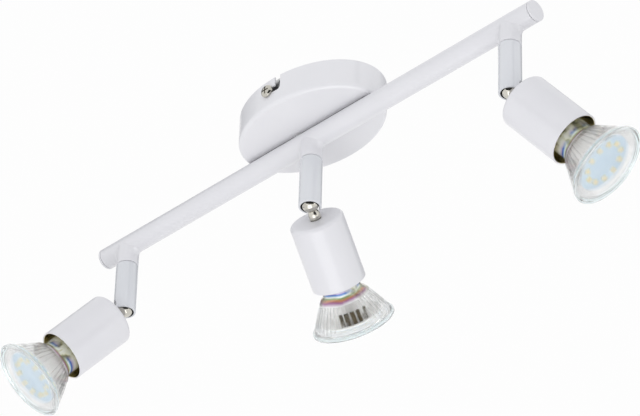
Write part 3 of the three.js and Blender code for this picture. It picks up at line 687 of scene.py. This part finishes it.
def arm_mesh(top):
    """The arm's tube with a closed top, the ball's seat inside and a slot up one side of its mouth."""
    mouth, inner, ceiling = -2.5, ARM_R - WALL, top - 1.6
    step = inner - 0.8
    seat = [(inner, 6.2), (step, 5.3), (step, 2.7), (inner, 1.9), (inner, -1.9)]
    tube = lathe(rounded([(inner - 0.5, mouth, 0.2), (ARM_R, mouth, 0.4), (ARM_R, top, 0.5), (STUD_BORE, top),
                          (STUD_BORE, ceiling), (inner, ceiling), *seat], 0.2, 4), 128,
                 lambda a, b: 1 if max(a[0], b[0]) < inner + 0.01 else 0)
    notch = wall_slot(slot_outline(0, -12, 0, 1.0, STEM_R + 0.4, 16), 0, ARM_R + 1)
    return carved(tube, moved(notch, turn("Z", -90)))


def knuckle_mesh():
    """Ball, stem and threaded tail, bored for the lead. A slot in the ball lets it pass at any tilt."""
    ball = [(0, -BALL_R), *arc(0, 0, BALL_R, -90, 58, 28)[1:]]
    neck = [(STEM_R * 0.86, 5.2), (STEM_R * 0.94, 6.0), (STEM_R, 6.9), (STEM_R, 9.3), (STEM_R - 0.25, 9.65)]
    crest, valley, pitch, thread_start = 3.0, 2.78, 0.42, 10.4
    tail = [(crest, 9.7), (crest, thread_start - 0.2)]
    for k in range(int((KNUCKLE_END - thread_start - 0.5) / pitch)):
        tail += [(crest, thread_start + k * pitch), (valley, thread_start + pitch / 2 + k * pitch)]
    body = lathe([*ball, *neck, *tail, (2.6, KNUCKLE_END), (0, KNUCKLE_END)], 96)
    bore_r, way = 1.5, 1.4
    bore = lathe([(0, 0), (bore_r, 0), (bore_r, KNUCKLE_END + 1), (0, KNUCKLE_END + 1)], 32)
    path = wall_slot([(-way, way), (-way, -8), *arc(0, 0, 8, -90, 0, 9), (8, way)], -way, way)
    return carved(body, bore, path)


def shell_mesh():
    """The head's painted cup: a rounded back with the stem's hole, and an open mouth, bare inside."""
    inner, floor, back, lip, corner = SHELL_R - WALL, SHELL_START + 1.2, 2.5, 0.4, 1.5
    wall = [(SHELL_R, SHELL_START + back + (SHELL_END - SHELL_START - 3) * k / 6) for k in range(1, 6)]
    outline = [(TAIL_BORE, SHELL_START + 0.15), (TAIL_BORE + 0.2, SHELL_START),
               *arc(SHELL_R - back, SHELL_START + back, back, -90, 0, 10), *wall,
               *arc(SHELL_R - lip, SHELL_END - lip, lip, 0, 90, 4),
               *arc(inner + 0.35, SHELL_END - 0.35, 0.35, 90, 180, 3),
               *arc(inner - corner, floor + corner, corner, 0, -90, 6), (TAIL_BORE, floor)]

    def inside(a, b):
        return 1 if min(a[0], b[0]) < inner + 0.05 and max(a[1], b[1]) > floor - 0.05 < a[1] else 0
    return lathe(outline, 128, inside)


def bridge_mesh():
    """A round plate on the tail with two legs down to the lampholder."""
    top, leg_in, leg_out, leg_half = BRIDGE_START + 2.6, 7.06, 8.66, 5
    plate = lathe(rounded([(TAIL_BORE, BRIDGE_START), (BRIDGE_R, BRIDGE_START), (BRIDGE_R, top),
                           (TAIL_BORE, top)], 0.3), 64)
    legs = [block(-leg_half, leg_half, *span_y, top - 0.4, BRIDGE_END)
            for span_y in ((-leg_out, -leg_in), (leg_in, leg_out))]
    return merged(plate, *legs)


# ---------------------------------------------------------------- lampholder


def keyhole(half, start, end, pitch):
    """Outline of an arc slot round the axis, ends rounded, between two angles."""
    return [*arc(0, 0, pitch + half, start, end, 12),
            *arc(*polar(pitch, end), half, end, end + 180, 10)[1:-1],
            *arc(0, 0, pitch - half, end, start, 12),
            *arc(*polar(pitch, start), half, start + 180, start + 360, 10)[1:-1]]


def holder_mesh():
    """Ceramic GU10 body: two arc slots, wide under the face for the pins' heads, with a way in at one end."""
    ease, twist, wide, narrow = 1.2, 22, 2.9, 2.0
    body = lathe(rounded([(0, HOLDER_START), (HOLDER_R, HOLDER_START), (HOLDER_R, HOLDER_FACE - ease),
                          (HOLDER_R - ease, HOLDER_FACE), (0, HOLDER_FACE)], 0.4), 80)
    floor, roof, pitch = HOLDER_FACE - 8.5, HOLDER_FACE - 2.6, PIN_PITCH / 2
    tools = []
    for side in (0, 180):
        tools.append(prism(keyhole(wide, side - twist, side, pitch), floor, roof))
        tools.append(prism(keyhole(narrow, side - twist, side, pitch), floor + 0.1, HOLDER_FACE + 1))
        way_in = lathe([(0, floor + 0.05), (wide, floor + 0.05), (wide, HOLDER_FACE + 1.2),
                        (0, HOLDER_FACE + 1.2)], 32)
        tools.append(moved(way_in, shift(*polar(pitch, side - twist))))
    return carved(body, *tools)


# ---------------------------------------------------------------- lamp


def bowl(t):
    """Outer radius of the glass cup, from its shoulder (0) to its rim (1)."""
    return NECK_R + 1.6 + (RIM_R - 0.8 - NECK_R - 1.6) * t ** 0.84


def bowl_point(t, proud=0.0):
    """A point on the outside of the cup, or proud mm outside it."""
    return bowl(t) + proud, SHOULDER + t * (BOWL_END - SHOULDER)


def neck_to_shoulder(radius):
    """The step from the neck out to the cup's shoulder."""
    return [(radius, BOWL_START - 0.6), (radius + 0.3, BOWL_START + 0.2), (radius + 0.9, BOWL_START + 0.8)]


def cup_mesh():
    """Glass cup: pressed ribs inside, faint rings outside near the neck, and a seat for the front disc."""
    wall, ribs, rib_depth, ring_depth, ring_pitch, ring_reach = 1.4, 42, 0.4, 0.22, 1.6, 7
    seat, seat_r = GLASS_START - 0.3, GLASS_R + 0.3
    inner_end = seat - 1
    outer = [bowl_point(k / 40) for k in range(41)]
    inner = [(r - wall, z) for r, z in outer if z < inner_end]
    bore = NECK_R - wall
    outline = [(bore, NECK_START + 0.2), (bore + 0.2, NECK_START), (NECK_R - 0.2, NECK_START),
               (NECK_R, NECK_START + 0.2), *neck_to_shoulder(NECK_R), *outer, (RIM_R - 0.2, BOWL_END + 0.1),
               *arc(RIM_R - 0.55, LAMP_FRONT - 0.6, 0.55, 0, 90, 6), (seat_r + 0.2, LAMP_FRONT - 0.05),
               (seat_r, LAMP_FRONT - 0.25), (seat_r, seat), (seat_r - 0.8, seat), *reversed(inner[1:]),
               (bore + 0.3, BOWL_START + 0.2), (bore, BOWL_START - 0.6)]

    def relief(angle, r, z):
        height = z - SHOULDER
        if 0 < height and z < inner_end and r < bowl(height / (BOWL_END - SHOULDER)) - wall * 0.6:
            depth = rib_depth * min(1.0, height / 3) * min(1.0, (inner_end - z) / 2)
            return -depth * (0.5 + 0.5 * math.cos(ribs * angle))
        if 0 < height < ring_reach and z < BOWL_END and r < RIM_R - 2:
            near_neck = 1 - height / ring_reach
            return -ring_depth * near_neck * (0.5 - 0.5 * math.cos(2 * math.pi * height / ring_pitch))
        return 0.0

    def rim(a, b):
        return 1 if min(a[0], b[0]) > GLASS_R - 0.6 and min(a[1], b[1]) > GLASS_START - 0.5 else 0
    return lathe(outline, ribs * 8, rim, relief)


def base_mesh():
    """Plastic base: a foot with two flats in the lampholder, and a column up into the glass neck."""
    top, flat, out, over = BASE_START + 13, 7.5, 20, 3
    column_r, slim_r, step = 9, 8.6, top + 14
    foot = lathe(rounded([(0, BASE_START), (BASE_R, BASE_START), (BASE_R, top), (0, top)], 0.8), 72)
    flats = [block(-out, out, *span_y, BASE_START - over, top + over, 0)
             for span_y in ((flat, out), (-out, -flat))]
    column = lathe([(0, top - 1), (column_r, top - 1), (column_r, step), (slim_r, step + 0.5),
                    (slim_r - 0.1, BASE_TOP - 3), (column_r, BASE_TOP - 0.5), (slim_r, BASE_TOP),
                    (0, BASE_TOP)], 64)
    return merged(carved(foot, *flats), column)


def neck_film_mesh():
    """Thin coated sleeve over the glass neck and the first of the bowl."""
    out, low, skin = NECK_R + 0.03, NECK_START + 0.3, 0.12
    line = [(out, low), *neck_to_shoulder(out), *[bowl_point(t, 0.05) for t in (0.02, 0.07, 0.12)]]
    return lathe([*line, *[(r + skin, z) for r, z in reversed(line)]], 96)


def pin_mesh():
    """A GU10 pin: thick head with eased edges and a thin shank into the base."""
    head, radius, ease, shank = PIN_START + 3.4, PIN_REACH - PIN_PITCH / 2, 0.6, 1.5
    return lathe(rounded([(0, PIN_START), (radius - ease, PIN_START), (radius, PIN_START + ease),
                          (radius, head), (shank, head, 0), (shank, PIN_END), (0, PIN_END)], 0.2), 40)


CHIPS, CHIP_RING, CHIP_HALF = 11, 12.25, 1.5
# Dark driver parts behind the board: angle in degrees and width in mm.
CHOKES = ((183, 1.6), (170, 2.6), (157, 2.6), (143, 1.8), (126, 0.9))
CHOKE_RING, CHOKE_START = 15.0, BOARD - 7.4
PARTS_TURN = {"left": -90, "middle": 0, "right": 135}


def board_meshes(parts_turn):
    """LED board with its ring of chips in front and the driver's parts behind."""
    front_slot, case_slot, gel_slot, back_slot, choke_slot = range(5)
    face, chip_foot, chip_top, gel_foot = BOARD + 1.2, BOARD + 1.1, BOARD + 1.85, BOARD + 1.8
    parts = [lathe(rounded([(0, BOARD), (BOARD_R, BOARD), (BOARD_R, face), (0, face)], 0.15), 96,
                   lambda a, b: back_slot if max(a[1], b[1]) < chip_foot else front_slot)]
    for k in range(CHIPS):
        case = block(CHIP_RING - CHIP_HALF, CHIP_RING + CHIP_HALF, -CHIP_HALF, CHIP_HALF, chip_foot, chip_top,
                     0.12)
        gel = lathe([(0, gel_foot), (1.15, gel_foot), (1.12, gel_foot + 0.13), (0, gel_foot + 0.18)], 24)
        place = turn("Z", 360 / CHIPS * k)
        parts += [moved(marked(case, case_slot), place),
                  moved(marked(moved(gel, shift(CHIP_RING)), gel_slot), place)]
    for angle, width in CHOKES:
        upright = block(CHOKE_RING - 1, CHOKE_RING + 1, -width / 2, width / 2, CHOKE_START, BOARD + 0.1, 0.25)
        parts.append(moved(marked(upright, choke_slot), turn("Z", angle + parts_turn)))
    return merged(*parts)


def front_mesh():
    """The clear disc in the lamp's rim."""
    return lathe(rounded([(0, GLASS_START), (GLASS_R, GLASS_START), (GLASS_R, GLASS_END, 0.5),
                          (0, GLASS_END)], 0.2), 96)


# ---------------------------------------------------------------- the three spots
film_and_painted_sheen = dichroic_and_painted_sheen("dichroic_film_painted_sheen", NECK_START, BOWL_START + 3.6)
arm_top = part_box("arm_tube_left")[1].z


def spot_piece(name, kind, style, mesh, matrix, materials, body, angle=32):
    """A piece that stands for the CAD node of its kind at one spot."""
    node = f"{kind}_{name}"
    return finish_mesh(f"{node}_{style}", mesh, matrix, materials, body, [node], angle)


for name in SIDES:
    head = head_frame(name)
    pivot, side = head.translation, head.to_3x3().col[1]
    arm = basis(pivot, side.cross(Vector((0, 0, -1))).normalized(), -side, Vector((0, 0, 1)))
    station = Matrix.Translation(Vector((pivot.x, 0, BAR_Z * MM)))
    body, lamp = f"head_{name}", f"lamp_{name}"
    spot_piece(name, "arm_collar", "round", collar_mesh(), station, [paint], "fixture")
    spot_piece(name, "arm_tube", "slotted", arm_mesh((arm_top - pivot.z) / MM), arm, [arm_paint, shade_painted_inside],
               f"arm_{name}")
    spot_piece(name, "knuckle", "ball", knuckle_mesh(), head, [chrome], body)
    spot_piece(name, "shell", "cup", shell_mesh(), head, [paint, bare_steel], body)
    spot_piece(name, "holder_bridge", "strap", bridge_mesh(), head, [zinc], body)
    spot_piece(name, "holder_body", "ceramic", holder_mesh(), head, [ceramic], body)
    spot_piece(name, "lamp_base", "moulding", base_mesh(), head, [nylon], lamp)
    finish_mesh(f"lamp_neck_film_{name}", neck_film_mesh(), head, [film_and_painted_sheen], lamp, [])
    cup = spot_piece(name, "lamp_reflector", "ribbed", cup_mesh(), head, [clear, rim_glass], lamp,
                     50)
    spot_piece(name, "led_board", "disc", board_meshes(PARTS_TURN[name]), head,
               [board_mask, chip_case, phosphor, board_back, choke], lamp)
    disc = spot_piece(name, "lamp_front_glass", "disc", front_mesh(), head, [front], lamp)
    cup.visible_shadow = disc.visible_shadow = False
    for letter, way in (("a", 1), ("b", -1)):
        finish_mesh(f"lamp_pin_{letter}_{name}_turned", pin_mesh(), head @ shift(PIN_PITCH / 2 * way),
                    [pin_steel], lamp, [f"lamp_pin_{letter}_{name}"])

# ---------------------------------------------------------------- CAD nodes shown as they are
looks = {"mounting_bracket": zinc, "terminal_block": nylon, "canopy_nipple": zinc, "nipple_washer": zinc,
         "nipple_nut": brass}
for name in SIDES:
    looks.update({f"swivel_stud_{name}": zinc, f"swivel_nut_{name}": brass, f"supply_lead_{name}": silicone,
                  f"holder_lead_{name}": silicone})
for name, look in looks.items():
    mesh = nodes[name].data
    mesh.materials.clear()
    mesh.materials.append(look)

# ---------------------------------------------------------------- floor and world
scene.view_settings.view_transform = "Standard"
PART_MIDDLE = Vector((0, 0, -0.07))


def seen_rays(tree):
    """1 for rays that the eye follows straight, off gloss or through glass."""
    path = add_node(tree, "LightPath", {})
    direct = maths(tree, "MAXIMUM", path.outputs["Is Camera Ray"], path.outputs["Is Glossy Ray"])
    return maths(tree, "MAXIMUM", direct, path.outputs["Is Transmission Ray"])


def show_instead(tree, lighting, shown, surface):
    """One shader for the light that a surface gives, another for how it looks."""
    mix = add_node(tree, "MixShader", {"Fac": seen_rays(tree), 1: lighting, 2: shown})
    tree.links.new(mix.outputs["Shader"], surface)


def pale_floor():
    """Grey for the light it gives back, near white to the eye."""
    mat, tree, bsdf = material("pale_floor")
    shade(tree, coordinates(tree), bsdf, (0.8, 0.8, 0.8), (0.84, 0.84, 0.84), 2)
    feed(tree, bsdf, {"Roughness": 0.8})
    glow = add_node(tree, "Emission", {"Color": (0.98, 0.98, 0.98, 1), "Strength": 1})
    show_instead(tree, bsdf.outputs["BSDF"], glow.outputs["Emission"],
                 tree.nodes["Material Output"].inputs["Surface"])
    return mat


def studio_world():
    """An even sky, a little brighter to the eye than as light."""
    world = bpy.data.worlds.new("studio")
    world.use_nodes = True
    tree = world.node_tree
    base = tree.nodes["Background"]
    feed(tree, base, {"Color": (0.97, 0.98, 1.0, 1), "Strength": 0.86})
    shown = add_node(tree, "Background", {"Color": (0.985, 0.985, 0.985, 1), "Strength": 1})
    show_instead(tree, base.outputs["Background"], shown.outputs["Background"],
                 tree.nodes["World Output"].inputs["Surface"])
    return world


def sheet(name, corners, look):
    """A flat stage piece with four corners."""
    mesh = bpy.data.meshes.new(name)
    mesh.from_pydata(corners, [], [(0, 1, 2, 3)])
    mesh.materials.append(look)
    return linked(name, mesh)


reach, drop = 14.0, -5.5
floor = sheet("floor", [(-reach, -reach, drop), (reach, -reach, drop), (reach, reach, drop),
                        (-reach, reach, drop)], pale_floor())
floor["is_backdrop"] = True
scene.world = studio_world()

# ---------------------------------------------------------------- light and dark cards


def softbox(name, place, power, size):
    """A square lamp in watts and metres that faces the part."""
    lamp = bpy.data.lights.new(name, "AREA")
    lamp.shape = "SQUARE"
    lamp.size = size
    lamp.energy = power
    made = linked(name, lamp)
    made.location = place
    made.rotation_euler = (PART_MIDDLE - Vector(place)).to_track_quat("-Z", "Y").to_euler()


def flag(name, azimuth, elevation, wide, tall, look, away):
    """A dark card that only reflections see, at angles about the part in degrees and metres away."""
    a, e = math.radians(azimuth), math.radians(elevation)
    out = Vector((math.cos(e) * math.cos(a), math.cos(e) * math.sin(a), math.sin(e)))
    across = Vector((0, 0, 1)).cross(out).normalized()
    upward = out.cross(across)
    half_w, half_h = away * math.tan(math.radians(wide / 2)), away * math.tan(math.radians(tall / 2))
    corners = [out * away + across * half_w * i + upward * half_h * j + PART_MIDDLE
               for i, j in ((-1, -1), (1, -1), (1, 1), (-1, 1))]
    card = sheet(name, corners, look)
    for kind in ("camera", "diffuse", "transmission", "shadow"):
        setattr(card, f"visible_{kind}", False)
    card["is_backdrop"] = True


CAMERA_SIDE, CAMERA_RISE = -44.5, -36.4
flag("flag_round_camera", CAMERA_SIDE, CAMERA_RISE + 20, 110, 50, black_cloth, 1.2)
flag("flag_arm_stripe", CAMERA_SIDE + 30, -CAMERA_RISE, 9, 26, black_cloth, 2.6)
flag("flag_left_edge", CAMERA_SIDE - 134, -CAMERA_RISE, 34, 40, grey_cloth, 2.6)
flag("flag_right_edge", CAMERA_SIDE + 134, -CAMERA_RISE, 34, 40, grey_cloth, 2.6)
softbox("key", (0.3, -1.9, -0.95), 4, 1.4)
softbox("fill", (1.9, 0.2, -0.5), 2, 1.4)
softbox("under", (0.2, -0.3, -1.85), 10, 1.6)

# ---------------------------------------------------------------- camera
camera_data = bpy.data.cameras.new("camera")
camera_data.sensor_fit = "HORIZONTAL"
camera_data.sensor_width = 36
camera_data.lens = 226.89
camera_data.clip_start, camera_data.clip_end = 0.05, 50
camera = linked("camera", camera_data)
camera_right = Vector((0.713164, 0.700625, 0.022842))
camera_up = Vector((0.403295, -0.436728, 0.804128))
camera_back = Vector((0.573368, -0.564263, -0.594017))
camera.matrix_world = basis(Vector((1.3372, -1.3078, -1.4569)), camera_right, camera_up, camera_back)
scene.camera = camera

bpy.context.view_layer.update()
low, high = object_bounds()
